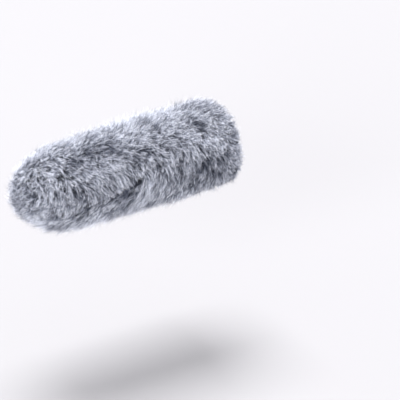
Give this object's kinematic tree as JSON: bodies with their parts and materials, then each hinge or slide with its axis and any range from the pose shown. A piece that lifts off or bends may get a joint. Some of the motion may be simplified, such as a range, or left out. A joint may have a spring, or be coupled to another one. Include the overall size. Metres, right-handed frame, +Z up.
{
  "type": "furry microphone windscreen",
  "caption": "Long-pile fur windscreen with a domed nose: a sewn fur cover slips over a bored foam core whose rubber collar grips a short shotgun microphone.",
  "frame": {"origin": "centre of the rubber collar's rear face, on the axis of the microphone bore", "axes": "+X along the bore, the way the microphone pulls out; the domed nose points to -X; +Z up; the long seam of the fur is on the -Y side"},
  "size_m": [0.17, 0.0644, 0.0644],
  "materials": {
    "fur": "long silver-grey acrylic pile, dark at the root and pale at the tip",
    "grey_thread": "grey polyester sewing thread",
    "lining": "dark knitted mesh",
    "binding": "black woven tape",
    "elastic": "black braided elastic",
    "black_thread": "charcoal polyester sewing thread",
    "foam": "charcoal open-cell foam",
    "collar_rubber": "matte",
    "ring_plastic": "matte"
  },
  "bodies": {
    "core": {"foam_core": "foam", "foam_nose_cap": "foam", "rubber_collar": "collar_rubber", "collar_ring": "ring_plastic"},
    "cover": {"fur_body_panel": "fur", "fur_nose_panel": "fur", "body_seam_thread": "grey_thread", "nose_seam_thread": "grey_thread", "lining_sleeve": "lining", "lining_nose_cap": "lining", "hem_binding": "binding", "hem_elastic": "elastic", "hem_stitching": "black_thread"}
  },
  "joints": [
    {"name": "cover_pull_off", "type": "slide", "parent": "core", "child": "cover", "axis": [-1, 0, 0], "range_m": [0, 0.165]}
  ]
}
